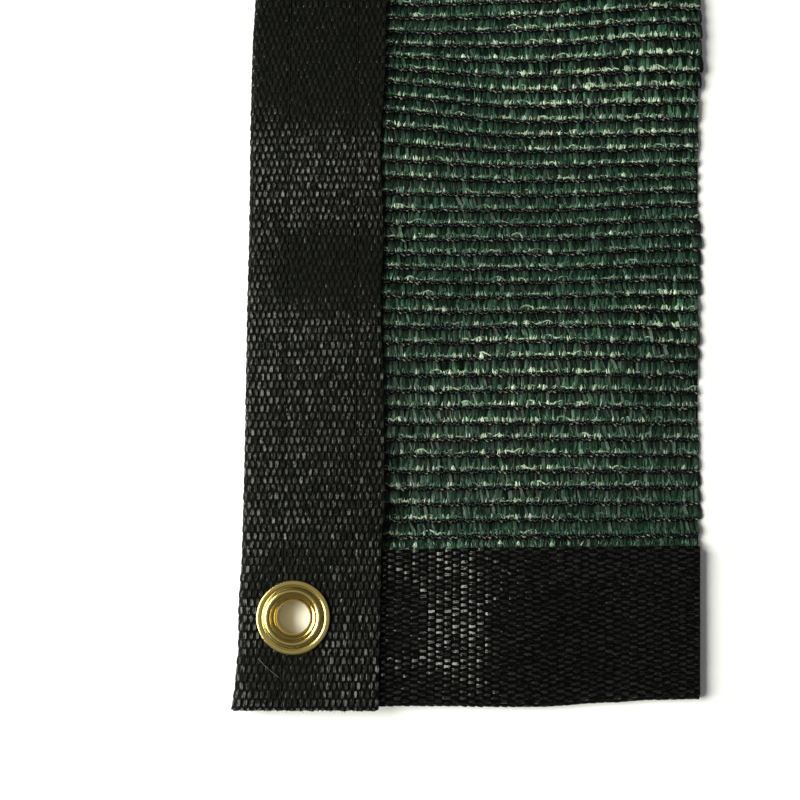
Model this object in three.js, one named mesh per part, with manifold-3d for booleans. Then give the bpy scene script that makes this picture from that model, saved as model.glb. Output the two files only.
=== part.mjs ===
// Bound corner of a knitted privacy screen with one brass eyelet, lying face up on a level surface.
// Millimetres. X runs right across the face, Y up along the side binding and Z up out of the face.
// Places are measured from the eyelet's axis, and the finished group is centred on the origin.

import * as THREE from "three";
import Module from "manifold-3d";
import { mergeVertices } from "three/addons/utils/BufferGeometryUtils.js";

// Sheet thicknesses, the gap between touching pieces, and how a sheet comes down off an edge below it.
const WEBBING_THICK = 1.0;
const KNIT_THICK = 1.0;
const GAP = 0.4;
const EDGE_CLEARANCE = 2;
const STEP_RUN = 12;
const SIDE_STEP_RUN = 34;
const WEBBING_STEP = WEBBING_THICK + GAP;
const KNIT_STEP = KNIT_THICK + GAP;

// The cut ends and the edges of the hidden back layers and tucks.
const TOP_CUT = 186;
const SIDE_LOWER_CUT = -24.3;
const SIDE_BACK_EDGE = 18.5;
const BOTTOM_BACK_EDGE = 13.5;
const TUCKED_LEFT_END = -11;
const KNIT_TRIMMED_EDGE = 16;
const KNIT_TUCKED_EDGE = 3;
const KNIT_TRIM_FROM = 31;
const KNIT_TRIM_TO = 37;
const RIGHT_CUT_AT_EYELET = 109.9;
const RIGHT_CUT_LEAN = 0.034;

// The knit's chain rows: the first lies just under the bottom binding's edge.
const FIRST_ROW = 17.65;
const ROW_PITCH = 4.434;
const ROW_COUNT = 38;

// Height of the knit's two faces along one row pitch, from chain to chain.
const RIB_PROFILE = [
  { along: 0, rise: 0.6, dip: 0 },
  { along: 0.22, rise: 0.3, dip: 0.15 },
  { along: 0.5, rise: 0.45, dip: 0.1 },
  { along: 0.8, rise: 0.2, dip: 0.2 },
];
const RIB_FADE = 1.5;

// How far the rows wander up or down from even spacing, at the knit's left, middle and right.
const ROW_DRIFT_X = { left: 27, middle: 68, right: 110 };
const ROW_DRIFT = [
  { row: 1, left: -0.5, middle: -0.2, right: 0 },
  { row: 10, left: -0.1, middle: 0.2, right: -0.1 },
  { row: 13, left: 0.2, middle: 0.8, right: 0.2 },
  { row: 16, left: 0.3, middle: 0.3, right: 0.9 },
  { row: 19, left: -0.3, middle: -0.3, right: 1.2 },
  { row: 22, left: -0.7, middle: -0.7, right: 0.8 },
  { row: 25, left: -0.2, middle: -1.0, right: -0.2 },
  { row: 28, left: 0.9, middle: -0.9, right: -0.3 },
  { row: 31, left: 0.8, middle: -0.7, right: 0.2 },
  { row: 34, left: -0.6, middle: 0, right: 1.5 },
];

// Outline of the side binding: its fold on the left and its inner edge on the right.
const SIDE_FOLD = [
  { y: -24.3, x: -16.4 },
  { y: -18, x: -15.6 },
  { y: -8, x: -14.9 },
  { y: 3, x: -15.0 },
  { y: 16, x: -14.4 },
  { y: 160, x: -14.2 },
  { y: 186, x: -13.4 },
];
const SIDE_INNER = [
  { y: -24.3, x: 22.9 },
  { y: 18, x: 23.5 },
  { y: 32, x: 24.4 },
  { y: 60, x: 24.1 },
  { y: 88, x: 23.1 },
  { y: 105, x: 23.9 },
  { y: 132, x: 23.0 },
  { y: 156, x: 24.3 },
  { y: 186, x: 24.7 },
];

// Outline of the bottom binding: its fold below and its inner edge above.
const BOTTOM_FOLD = [
  { x: -11, y: -23.3 },
  { x: 26, y: -23.5 },
  { x: 66, y: -23.8 },
  { x: 86, y: -22.7 },
  { x: 98, y: -22.0 },
  { x: 112, y: -21.8 },
];
const BOTTOM_INNER = [
  { x: -11, y: 17.8 },
  { x: 24, y: 18.0 },
  { x: 60, y: 18.7 },
  { x: 112, y: 19.1 },
];

// Soft swells of the lying cloth: the crest, how far it falls away on each side, and its height.
const SWELLS = [
  { x: 26, y: 140, left: 70, right: 34, down: 31, up: 40, high: 2.9 },
  { x: 24, y: 84, left: 60, right: 28, down: 56, up: 24, high: 2.5 },
  { x: 14, y: -36, left: 60, right: 24, down: 30, up: 26, high: 0.8 },
  { x: 54, y: -2, left: 28, right: 36, down: 40, up: 26, high: 1.6 },
  { x: 88, y: 80, left: 62, right: 24, down: 34, up: 24, high: 2.6 },
  { x: 104, y: 170, left: 60, right: 30, down: 40, up: 30, high: 3.0 },
];

// The eyelet: a flange with a raised crown, a barrel, and a lip rolled over a washer at the back.
const HOLE_RADIUS = 4.4;
const BARREL_RADIUS = 5.0;
const PIERCED_RADIUS = 5.5;
const RIM_RADIUS = 9.87;
const RIM_FLAT_RADIUS = 8.7;
const RIM_THICK = 0.5;
const GROOVE_RADIUS = 8.35;
const CROWN_RADIUS = 7.0;
const CROWN_HALF_WIDTH = 1.15;
const CROWN_RISE = 1.25;
const FUNNEL_DEPTH = 2.6;
const LIP_RADIUS = 6.8;
const LIP_THICK = 0.5;
const WASHER_RADIUS = 9.6;
const WASHER_HOLE_RADIUS = 5.4;
const WASHER_THICK = 0.6;
const EYELET_FLAT = 11;
const EYELET_FALL = 38;
const EYELET_LIFT = LIP_THICK + GAP + WASHER_THICK + GAP;
const CORNER_LAYERS = 3;
const FLANGE_UNDERSIDE = EYELET_LIFT + CORNER_LAYERS * WEBBING_STEP + WEBBING_THICK + GAP;
const ROUND_SEGMENTS = 36;

// Steps of the meshes.
const FOLD_STEPS = 6;
const SIDE_BACK_X = [SIDE_BACK_EDGE, 12, 6, 0, -6];
const SIDE_FRONT_SHARES = [0.16, 0.34, 0.5, 0.66, 0.83, 1];
const BOTTOM_BACK_Y = [BOTTOM_BACK_EDGE, 6, 0, -6, -13];
const BOTTOM_FRONT_SHARES = [0.2, 0.4, 0.55, 0.7, 0.85, 1];
const CORNER_STATION = 4;
const OPEN_STATION = 6;
const KNIT_LEFT_X = [TUCKED_LEFT_END, 0, 10.5, 20.5, 24.4, KNIT_TRIM_FROM];
const KNIT_RIGHT_SHARES = [0, 0.16, 0.33, 0.5, 0.67, 0.84, 1];
const TUCK_SHARES = [0, 0.5];

// 1 at 0, easing to 0 at 1 and beyond, the same to both sides.
function fall(q) {
  const a = Math.min(Math.abs(q), 1);
  return Math.cos((a * Math.PI) / 2) ** 2;
}

// 0 up to `from`, easing to 1 at `to`.
function rise(at, from, to) {
  const t = THREE.MathUtils.clamp((at - from) / (to - from), 0, 1);
  return t * t * (3 - 2 * t);
}

// Reads a table that is sorted by column `by`: the value of `column` at a place, eased between rows.
function read(table, by, column, at) {
  const next = table.findIndex((row) => row[by] > at);
  if (next === 0) return table[0][column];
  if (next < 0) return table[table.length - 1][column];
  const a = table[next - 1];
  const b = table[next];
  return a[column] + (b[column] - a[column]) * rise(at, a[by], b[by]);
}

const sideFold = (y) => read(SIDE_FOLD, "y", "x", y);
const sideInner = (y) => read(SIDE_INNER, "y", "x", y);
const bottomFold = (x) => read(BOTTOM_FOLD, "x", "y", x);
const bottomInner = (x) => read(BOTTOM_INNER, "x", "y", x);
const rightCut = (y) => RIGHT_CUT_AT_EYELET + RIGHT_CUT_LEAN * y;

// Height of the lowest layer over the surface: the swells, and the washer's thickness, which holds up
// the cloth round the eyelet and the stiff corner below it.
function lift(x, y) {
  const past = Math.hypot(x, Math.max(0, y)) - EYELET_FLAT;
  const raised = EYELET_LIFT * fall(Math.max(0, past) / EYELET_FALL);
  return SWELLS.reduce((sum, s) => {
    const across = (x - s.x) / (x < s.x ? s.left : s.right);
    const along = (y - s.y) / (y < s.y ? s.down : s.up);
    return sum + s.high * fall(across) * fall(along);
  }, raised);
}

// What a layer gains by lying on one sheet that ends at `edge`, where the layer comes down past it.
function comingDown(at, edge, run = STEP_RUN) {
  return fall(Math.max(0, at - edge - EDGE_CLEARANCE) / run);
}

// Undersides of the layers, from the surface up.
const sideBack = (x, y) => lift(x, y);
const bottomBack = (x, y) => lift(x, y) + WEBBING_STEP * comingDown(x, SIDE_BACK_EDGE);
function knitUnderside(x, y) {
  const pastSide = Math.max(0, x - SIDE_BACK_EDGE);
  const pastBottom = Math.max(0, y - BOTTOM_BACK_EDGE);
  return lift(x, y) + WEBBING_STEP * comingDown(Math.min(pastSide, pastBottom), 0);
}
const bottomFront = (x, y) => lift(x, y) + WEBBING_STEP + KNIT_STEP;
function sideFront(x, y) {
  return bottomFront(x, y) + WEBBING_STEP * comingDown(y, bottomInner(x), SIDE_STEP_RUN);
}

// Height of the chain row or part of a row `row` at x, with the rows' drift.
function rowHeight(row, x) {
  const { left, middle, right } = ROW_DRIFT_X;
  const drift = (column) => read(ROW_DRIFT, "row", column, row);
  const toRight = rise(x, middle, right);
  const toMiddle = rise(x, left, middle);
  const held = drift("left") + (drift("middle") - drift("left")) * toMiddle;
  return FIRST_ROW + ROW_PITCH * row + held + (drift("right") - drift("middle")) * toRight;
}

// A closed slab from two faces with the same grid: outer[i][j] and inner[i][j] are points.
function slab(outer, inner) {
  const rows = outer.length;
  const columns = outer[0].length;
  const positions = [...outer.flat(), ...inner.flat()].flatMap((p) => [p.x, p.y, p.z]);
  const top = (i, j) => i * columns + j;
  const under = (i, j) => (rows + i) * columns + j;
  const index = [];
  const quad = (a, b, c, d) => index.push(a, b, c, a, c, d);
  for (let i = 0; i + 1 < rows; i += 1) {
    for (let j = 0; j + 1 < columns; j += 1) {
      quad(top(i, j), top(i, j + 1), top(i + 1, j + 1), top(i + 1, j));
      quad(under(i, j), under(i + 1, j), under(i + 1, j + 1), under(i, j + 1));
    }
    quad(top(i, 0), top(i + 1, 0), under(i + 1, 0), under(i, 0));
    quad(top(i + 1, columns - 1), top(i, columns - 1), under(i, columns - 1), under(i + 1, columns - 1));
  }
  for (let j = 0; j + 1 < columns; j += 1) {
    quad(top(0, j + 1), top(0, j), under(0, j), under(0, j + 1));
    quad(top(rows - 1, j), top(rows - 1, j + 1), under(rows - 1, j + 1), under(rows - 1, j));
  }
  const geometry = new THREE.BufferGeometry();
  geometry.setAttribute("position", new THREE.Float32BufferAttribute(positions, 3));
  geometry.setIndex(index);
  return geometry;
}

// One section of webbing folded in half, as places across it and heights: outer and inner line.
// `back` and `front` give the undersides of the two layers at a place across the strip.
function foldedSection(foldAt, backPlaces, frontEdge, frontShares, back, front) {
  const radius = (front(foldAt) + WEBBING_THICK - back(foldAt)) / 2;
  const bendAt = foldAt + radius;
  const middle = back(bendAt) + radius;
  const outer = [];
  const inner = [];
  for (const at of backPlaces) {
    outer.push({ at, z: back(at) });
    inner.push({ at, z: back(at) + WEBBING_THICK });
  }
  for (let k = 0; k <= FOLD_STEPS; k += 1) {
    const turn = (k / FOLD_STEPS) * Math.PI;
    const within = radius - WEBBING_THICK;
    outer.push({ at: bendAt - radius * Math.sin(turn), z: middle - radius * Math.cos(turn) });
    inner.push({ at: bendAt - within * Math.sin(turn), z: middle - within * Math.cos(turn) });
  }
  for (const share of frontShares) {
    const at = bendAt + (frontEdge - bendAt) * share;
    outer.push({ at, z: front(at) + WEBBING_THICK });
    inner.push({ at, z: front(at) });
  }
  return { outer, inner };
}

// Stations along a strip: close together up to `dense`, wider beyond.
function stations(from, dense, to) {
  const nearCount = Math.round((dense - from) / CORNER_STATION);
  const farCount = Math.round((to - dense) / OPEN_STATION);
  const near = Array.from({ length: nearCount }, (_, i) => from + ((dense - from) * i) / nearCount);
  const far = Array.from({ length: farCount + 1 }, (_, i) => dense + ((to - dense) * i) / farCount);
  return [...near, ...far];
}

const wasm = await Module();
wasm.setup();

function toManifold(geometry) {
  const bare = geometry.clone();
  bare.deleteAttribute("normal");
  bare.deleteAttribute("uv");
  const merged = mergeVertices(bare);
  const vertProperties = new Float32Array(merged.attributes.position.array);
  const triVerts = new Uint32Array(merged.index.array);
  return new wasm.Manifold(new wasm.Mesh({ numProp: 3, vertProperties, triVerts }));
}

// The sheet with the eyelet's round hole cut through all its layers.
function pierced(geometry) {
  const punch = new THREE.CylinderGeometry(PIERCED_RADIUS, PIERCED_RADIUS, 40, ROUND_SEGMENTS);
  punch.rotateX(Math.PI / 2);
  const mesh = toManifold(geometry).subtract(toManifold(punch)).getMesh();
  const cut = new THREE.BufferGeometry();
  cut.setAttribute("position", new THREE.BufferAttribute(mesh.vertProperties, 3));
  cut.setIndex(new THREE.BufferAttribute(mesh.triVerts, 1));
  return cut;
}

// The side binding: sections across X, carried up along Y.
function sideBindingGeometry() {
  const outer = [];
  const inner = [];
  for (const y of stations(SIDE_LOWER_CUT, 32, TOP_CUT)) {
    const section = foldedSection(
      sideFold(y), SIDE_BACK_X, sideInner(y), SIDE_FRONT_SHARES,
      (x) => sideBack(x, y), (x) => sideFront(x, y),
    );
    outer.push(section.outer.map((p) => new THREE.Vector3(p.at, y, p.z)));
    inner.push(section.inner.map((p) => new THREE.Vector3(p.at, y, p.z)));
  }
  return pierced(slab(outer, inner));
}

// The bottom binding: sections across Y, carried along X from inside the side binding to the right cut.
function bottomBindingGeometry() {
  const outer = [];
  const inner = [];
  const onCut = (share, y) => TUCKED_LEFT_END + (rightCut(y) - TUCKED_LEFT_END) * share;
  const places = stations(TUCKED_LEFT_END, 37, RIGHT_CUT_AT_EYELET);
  for (const x of places.reverse()) {
    const share = (x - TUCKED_LEFT_END) / (RIGHT_CUT_AT_EYELET - TUCKED_LEFT_END);
    const section = foldedSection(
      bottomFold(x), BOTTOM_BACK_Y, bottomInner(x), BOTTOM_FRONT_SHARES,
      (y) => bottomBack(x, y), (y) => bottomFront(x, y),
    );
    outer.push(section.outer.map((p) => new THREE.Vector3(onCut(share, p.at), p.at, p.z)));
    inner.push(section.inner.map((p) => new THREE.Vector3(onCut(share, p.at), p.at, p.z)));
  }
  return pierced(slab(outer, inner));
}

// The knit: a slab whose two faces rise and dip with its chain rows, tucked flat into the bindings.
function knitGeometry() {
  const upper = [];
  const lower = [];
  const deeper = KNIT_TRIMMED_EDGE - KNIT_TUCKED_EDGE;
  const lowEdge = (x) => KNIT_TRIMMED_EDGE - deeper * rise(x, KNIT_TRIM_FROM, KNIT_TRIM_TO);
  const acrossAt = (y) => [
    ...KNIT_LEFT_X,
    ...KNIT_RIGHT_SHARES.map((share) => KNIT_TRIM_TO + (rightCut(y) - KNIT_TRIM_TO) * share),
  ];
  const addStation = (heightAt, rough, profile) => {
    const across = acrossAt(rough);
    const points = across.map((x) => {
      const y = Math.min(heightAt(x), TOP_CUT);
      const pastSide = rise(x, sideInner(y), sideInner(y) + RIB_FADE);
      const pastBottom = rise(y, bottomInner(x), bottomInner(x) + RIB_FADE);
      return { x, y, base: knitUnderside(x, y), shows: pastSide * pastBottom };
    });
    const topAt = (p) => p.base + KNIT_THICK + profile.rise * p.shows;
    upper.push(points.map((p) => new THREE.Vector3(p.x, p.y, topAt(p))));
    lower.push(points.map((p) => new THREE.Vector3(p.x, p.y, p.base + profile.dip * p.shows)));
  };
  for (const share of TUCK_SHARES) {
    const heightAt = (x) => lowEdge(x) + (rowHeight(0, x) - lowEdge(x)) * share;
    addStation(heightAt, KNIT_TUCKED_EDGE, RIB_PROFILE[0]);
  }
  for (let row = 0; row < ROW_COUNT; row += 1) {
    for (const profile of RIB_PROFILE) {
      addStation((x) => rowHeight(row + profile.along, x), FIRST_ROW + ROW_PITCH * row, profile);
    }
  }
  addStation(() => TOP_CUT, TOP_CUT, RIB_PROFILE[1]);
  return slab(upper, lower);
}

// A ring turned about Z from a closed profile of radii and heights.
function turned(profile) {
  const points = [...profile, profile[0]].map(({ r, z }) => new THREE.Vector2(r, z));
  const ring = new THREE.LatheGeometry(points, ROUND_SEGMENTS);
  return ring.rotateX(Math.PI / 2);
}

// The eyelet's front part: flat rim, groove, half-round crown, funnel, barrel and rolled lip.
function grommetGeometry() {
  const rimTop = FLANGE_UNDERSIDE + RIM_THICK;
  const crownSteps = 6;
  const crown = Array.from({ length: crownSteps + 1 }, (_, k) => {
    const turn = (k / crownSteps) * Math.PI;
    const r = CROWN_RADIUS + CROWN_HALF_WIDTH * Math.cos(turn);
    return { r, z: rimTop + CROWN_RISE * Math.sin(turn) };
  });
  const funnelTop = CROWN_RADIUS - CROWN_HALF_WIDTH;
  const funnel = [0.35, 0.7, 1].map((share) => ({
    r: funnelTop - (funnelTop - HOLE_RADIUS) * Math.sin((share * Math.PI) / 2),
    z: rimTop - FUNNEL_DEPTH * (1 - Math.cos((share * Math.PI) / 2)),
  }));
  return turned([
    { r: BARREL_RADIUS, z: FLANGE_UNDERSIDE },
    { r: RIM_RADIUS, z: FLANGE_UNDERSIDE },
    { r: RIM_RADIUS, z: rimTop - 0.15 },
    { r: RIM_RADIUS - 0.2, z: rimTop },
    { r: RIM_FLAT_RADIUS, z: rimTop },
    { r: GROOVE_RADIUS, z: rimTop - 0.15 },
    ...crown,
    ...funnel,
    { r: HOLE_RADIUS, z: LIP_THICK },
    { r: HOLE_RADIUS + 0.3, z: 0.1 },
    { r: BARREL_RADIUS, z: 0 },
    { r: LIP_RADIUS - 0.2, z: 0 },
    { r: LIP_RADIUS, z: 0.2 },
    { r: LIP_RADIUS - 0.2, z: LIP_THICK },
    { r: BARREL_RADIUS, z: LIP_THICK },
  ]);
}

function washerGeometry() {
  const under = LIP_THICK + GAP;
  const top = under + WASHER_THICK;
  return turned([
    { r: WASHER_HOLE_RADIUS, z: under },
    { r: WASHER_RADIUS - 0.5, z: under },
    { r: WASHER_RADIUS, z: under + 0.2 },
    { r: WASHER_RADIUS, z: top - 0.15 },
    { r: WASHER_RADIUS - 0.3, z: top },
    { r: WASHER_HOLE_RADIUS, z: top },
  ]);
}

const blackWebbing = { color: 0x161714, roughness: 0.62, metalness: 0 };
const greenKnit = { color: 0x20392c, roughness: 0.45, metalness: 0 };
const brass = { color: 0xc9a856, roughness: 0.22, metalness: 1 };

function piece(name, geometry, finish) {
  const mesh = new THREE.Mesh(geometry, new THREE.MeshStandardMaterial(finish));
  mesh.name = name;
  return mesh;
}

const screen = new THREE.Group();
screen.add(
  piece("knit_panel", knitGeometry(), greenKnit),
  piece("side_binding", sideBindingGeometry(), blackWebbing),
  piece("bottom_binding", bottomBindingGeometry(), blackWebbing),
  piece("grommet", grommetGeometry(), brass),
  piece("grommet_washer", washerGeometry(), brass),
);

// The origin is at the middle of the outline, on the surface.
const outline = new THREE.Box3().setFromObject(screen);
const centre = outline.getCenter(new THREE.Vector3());
screen.position.set(-centre.x, -centre.y, -outline.min.z);

export default screen;
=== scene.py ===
import math

import bpy
import numpy as np
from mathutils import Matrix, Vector


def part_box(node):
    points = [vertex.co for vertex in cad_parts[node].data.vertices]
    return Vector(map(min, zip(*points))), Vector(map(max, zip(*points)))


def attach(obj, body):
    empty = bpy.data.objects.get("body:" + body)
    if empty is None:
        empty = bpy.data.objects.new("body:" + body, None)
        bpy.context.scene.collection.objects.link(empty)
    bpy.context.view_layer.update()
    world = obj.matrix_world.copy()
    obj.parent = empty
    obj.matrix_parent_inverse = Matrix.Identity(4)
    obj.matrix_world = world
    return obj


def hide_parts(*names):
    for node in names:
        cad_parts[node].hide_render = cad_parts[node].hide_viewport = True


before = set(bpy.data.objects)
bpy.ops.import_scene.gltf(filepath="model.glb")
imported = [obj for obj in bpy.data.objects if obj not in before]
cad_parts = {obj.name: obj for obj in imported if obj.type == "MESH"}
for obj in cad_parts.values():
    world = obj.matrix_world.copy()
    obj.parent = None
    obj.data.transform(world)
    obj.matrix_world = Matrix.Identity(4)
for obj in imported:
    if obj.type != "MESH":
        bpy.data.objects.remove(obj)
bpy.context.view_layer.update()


def table(columns, *rows):
    """Rows as dictionaries with the named columns."""
    return [dict(zip(columns.split(), row)) for row in rows]


# All shapes below are worked out in millimetres from the eyelet's axis, as the solids are.
# X runs right across the face, Y up along the side binding and Z up out of the face.
MM = 0.001
grommet_low, grommet_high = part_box("grommet")
EYELET = np.array([(grommet_low.x + grommet_high.x) / 2, (grommet_low.y + grommet_high.y) / 2, 0.0])
PICTURE_PIXELS = 800
UPWARD = np.array([0.0, 0.0, 1.0])

# Sheets: thickness, the gap between them, and how one comes down off the edge of a sheet below it.
WEBBING_THICK = 1.0
KNIT_THICK = 1.0
GAP = 0.4
EDGE_CLEARANCE = 2.0
STEP_RUN = 12.0
SIDE_STEP_RUN = 34.0
WEBBING_STEP = WEBBING_THICK + GAP
KNIT_STEP = KNIT_THICK + GAP

# Cut ends, and the edges of hidden back layers and tucks.
TOP_CUT = 186.0
SIDE_LOWER_CUT = -24.3
SIDE_BACK_EDGE = 18.5
BOTTOM_BACK_EDGE = 13.5
TUCKED_LEFT_END = -11.0
KNIT_TRIMMED_EDGE = 16.0
KNIT_TUCKED_EDGE = 3.0
KNIT_TRIM_FROM = 31.0
KNIT_TRIM_TO = 37.0
RIGHT_CUT_AT_EYELET = 109.9
RIGHT_CUT_LEAN = 0.034

# The knit: level chain rows, and how far they wander at its left, middle and right.
FIRST_ROW = 17.65
ROW_PITCH = 4.434
ROW_COUNT = 38
STITCH = 2.3
DRIFT_X = dict(left=27.0, middle=68.0, right=110.0)
ROW_DRIFT = table(
    "row left middle right",
    (1, -0.5, -0.2, 0.0),
    (10, -0.1, 0.2, -0.1),
    (13, 0.2, 0.8, 0.2),
    (16, 0.3, 0.3, 0.9),
    (19, -0.3, -0.3, 1.2),
    (22, -0.7, -0.7, 0.8),
    (25, -0.2, -1.0, -0.2),
    (28, 0.9, -0.9, -0.3),
    (31, 0.8, -0.7, 0.2),
    (34, -0.6, 0.0, 1.5),
)

# Outlines of the bindings: the folded edge and the inner edge of each.
SIDE_FOLD = table(
    "y x",
    (-24.3, -16.4), (-18, -15.6), (-8, -14.9), (3, -15.0), (16, -14.4), (160, -14.2), (186, -13.4),
)
SIDE_INNER = table(
    "y x",
    (-24.3, 22.9), (18, 23.5), (32, 24.4), (60, 24.1), (88, 23.1), (105, 23.9), (132, 23.0),
    (156, 24.3), (186, 24.7),
)
BOTTOM_FOLD = table(
    "x y",
    (-11, -23.3), (26, -23.5), (66, -23.8), (86, -22.7), (98, -22.0), (112, -21.8),
)
BOTTOM_INNER = table(
    "x y",
    (-11, 17.8), (24, 18.0), (60, 18.7), (112, 19.1),
)

# Soft swells of the lying cloth: the crest, how far it falls away on each side, and its height.
SWELLS = table(
    "x y left right down up high",
    (26, 140, 70, 34, 31, 40, 2.9),
    (24, 84, 60, 28, 56, 24, 2.5),
    (14, -36, 60, 24, 30, 26, 0.8),
    (54, -2, 28, 36, 40, 26, 1.6),
    (88, 80, 62, 24, 34, 24, 2.6),
    (104, 170, 60, 30, 40, 30, 3.0),
)

# The eyelet.
HOLE_RADIUS = 4.4
BARREL_RADIUS = 5.0
PIERCED_RADIUS = 5.5
RIM_RADIUS = 9.87
RIM_FLAT_RADIUS = 8.7
RIM_THICK = 0.5
GROOVE_RADIUS = 8.35
CROWN_RADIUS = 7.0
CROWN_HALF_WIDTH = 1.15
CROWN_RISE = 1.25
FUNNEL_DEPTH = 2.6
LIP_RADIUS = 6.8
LIP_THICK = 0.5
WASHER_RADIUS = 9.6
WASHER_HOLE_RADIUS = 5.4
WASHER_THICK = 0.6
EYELET_FLAT = 11.0
EYELET_FALL = 38.0
EYELET_LIFT = LIP_THICK + GAP + WASHER_THICK + GAP
CORNER_LAYERS = 3
FLANGE_UNDERSIDE = EYELET_LIFT + CORNER_LAYERS * WEBBING_STEP + WEBBING_THICK + GAP
ROUND_STEPS = 96

# The woven webbing: one warp end's width, one weft pick's length, and how high a float stands.
END_PITCH = 0.825
PICK_PITCH = 2.2
FLOAT_RISE = 0.3
FLOAT_SINK = 0.35
FRONT_COLUMNS = 3
BACK_COLUMNS = 2
ROWS_PER_PICK = 4

# The webbing's unseen inner face has one point to so many of the outer face, and lies so far inside it.
INNER_EVERY = 8
INNER_DEPTH = 0.85 * WEBBING_THICK

# How much the floats differ: their height, their slant, how far they are pushed over, how their faces
# tip lengthways, and how steep their far flanks are.
FLOATS_VARY = dict(
    lowest=0.75, highest=1.25, slant=0.04, slant_spread=0.07, slant_most=0.14, push_spread=0.18,
    push_most=1.2, tip_spread=0.19, flattest=0.92, steepest=1.12,
)

# What being pushed over does to the floats: `skew` steepens their far flank, `tilt` tips them lengthways.
SIDE_WEAVE = dict(skew=0.6, tilt=0.0)
BOTTOM_WEAVE = dict(skew=0.0, tilt=1.9)

# Sewn lines along the bindings: their places, and the stitches of black thread.
SIDE_SEAMS = [-3.1, 16.4]
BOTTOM_SEAMS = [-14.4, 5.6]
SEAM_GROOVE = 0.16
SEAM_HALF_WIDTH = 0.55
SEAM_STITCH = 3.0
SEAM_STITCH_SHOWN = 0.86
SEAM_CLEAR_OF_RIM = 0.6
THREAD_RADIUS = 0.16
THREAD_STEPS = 7

# The loose hair beside the eyelet and the frayed fibres at the side binding's cut end.
HAIR_FROM = (-9.2, -10.8)
HAIR_RUN = (5.7, -5.0)
HAIR_RADIUS = 0.028
HAIR_STEPS = 24
FRAYED_FIBRES = 26
FRAYED_RADIUS = 0.07
FRAYED_STEPS = 6

# Patches where the webbing's threads lie upright and catch no light. Elsewhere they are pushed over,
# towards the left in the side binding and lengthways in the bottom one. Each patch has its middle, its
# reach, the share of that reach over which it fades out, and how upright the threads are.
SIDE_UPRIGHT = table(
    "x y reach_x reach_y fade upright",
    (14, 168, 42, 34, 0.3, 1.0),
    (17, 96, 32, 17, 0.7, 1.1),
    (-2, -15, 14, 10, 0.6, 1.0),
    (-1, 11, 14, 10, 0.6, 0.6),
    (8, 38, 40, 50, 0.4, 0.22),
)
BOTTOM_UPRIGHT = table(
    "x y reach_x reach_y fade upright",
    (104, -2, 56, 90, 0.20, 1.0),
    (29, -1, 8, 12, 0.6, 0.9),
    (34, -20, 16, 7, 0.6, 0.7),
)

# The punch for the eyelet's hole in the webbing: its sides, and its length in metres.
PUNCH_SIDES = 64
PUNCH_DEPTH = 0.04

# The knit's ground, a slab behind the tapes: its faces over the knit's underside, how far they rise and
# sink between chain rows, and its fine pleats.
KNIT_LEFT_SHOWN = 21.5
GROUND_COLUMNS = 90
GROUND_STEPS_PER_ROW = 3
GROUND_TOP = 0.62
GROUND_UNDER = 0.20
GROUND_RIDGE = 0.16
GROUND_HOLLOW = 0.12
PLEAT_RISE = 0.05
PLEAT_PITCH = 1.7
GROUND_SHORT_OF_CUT = 0.2
YARN_SHORT_OF_CUT = 0.3

# How slack the knit lies, which makes its folds stand wider, and painted light: the same number scales
# the tapes' tones, so the patches paint lit, paler zones and, where negative, a duller one. As a rule, and
# what patches add to it.
SLACK_AND_LIGHT_USUAL = 0.42
SLACK_AND_LIGHT = table(
    "x y reach_x reach_y more",
    (90, 152, 56, 38, 0.6),
    (60, 62, 48, 30, 0.45),
    (106, 84, 16, 12, 0.8),
    (102, 24, 44, 16, -0.35),
    (28, 132, 20, 60, 0.25),
    (30, 30, 18, 22, 0.3),
    (64, 36, 16, 14, 0.3),
)

# Stations along a laid tape, by its part of the way from the lower chain to the next, with its height
# over the knit's underside, its share of its width, and its thickness.
FRONT_LEG = table(
    "part high wide thick",
    (0.05, 0.80, 0.60, 0.20), (0.16, 1.16, 0.90, 0.40), (0.30, 1.26, 1.00, 0.50),
    (0.50, 1.14, 1.00, 0.50), (0.75, 0.98, 0.90, 0.40), (0.98, 0.75, 0.60, 0.20),
)
BACK_LEG = table(
    "part high wide thick",
    (0.03, 0.65, 0.80, 0.20), (0.20, 1.00, 1.00, 0.40), (0.60, 0.94, 1.00, 0.40),
    (0.99, 0.65, 0.80, 0.20),
)
FOLD = table(
    "part high wide thick",
    (0.08, 1.10, 0.85, 0.30), (0.15, 1.42, 1.00, 0.42), (0.26, 1.55, 0.62, 0.34),
    (0.40, 1.50, 0.10, 0.10),
)
SLIVER = table(
    "part high wide thick",
    (0.10, 1.30, 0.90, 0.20), (0.22, 1.55, 1.00, 0.24), (0.38, 1.45, 0.20, 0.10),
)

# The sets of tapes: legs behind and in front, tapes seen edge-on, broad and narrow folds over the lower
# chain, and slivers of them.
# Each has its spacing, its least and greatest width, whether slack knit widens it, how far it leans
# sideways, how far it is turned about its length, its tones from dim to pale, how much darker it grows
# towards its top, as painted shade under the chain above, and how much higher it starts in the first band,
# over the bottom binding's edge. The back legs' tones run darker than the front ones', as painted shade
# behind them.
TAPE_SETS = table(
    "shape spacing narrow broad widens lean twist dim pale shade first",
    (BACK_LEG, 2.1, 2.0, 3.0, False, 0.5, 0.10, -0.45, 0.15, 0.35, 0.0),
    (FRONT_LEG, 1.55, 1.05, 1.9, False, 0.9, 0.35, -0.22, 0.5, 0.4, 0.0),
    (FRONT_LEG, 4.0, 0.15, 0.4, True, 0.9, 0.6, 0.1, 0.6, 0.4, 0.0),
    (FOLD, 2 * STITCH, 0.95, 2.1, True, 0.9, 0.3, 0.4, 1.15, 0, 0.3),
    (FOLD, STITCH, 0.3, 1.1, True, 0.9, 0.4, 0.0, 1.1, 0, 0.3),
    (SLIVER, STITCH / 2, 0.2, 0.6, True, 1.2, 0.6, 0.0, 1.2, 0, 0.3),
)
TAPE_BANDS = [0, 13, 26, ROW_COUNT]

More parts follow.
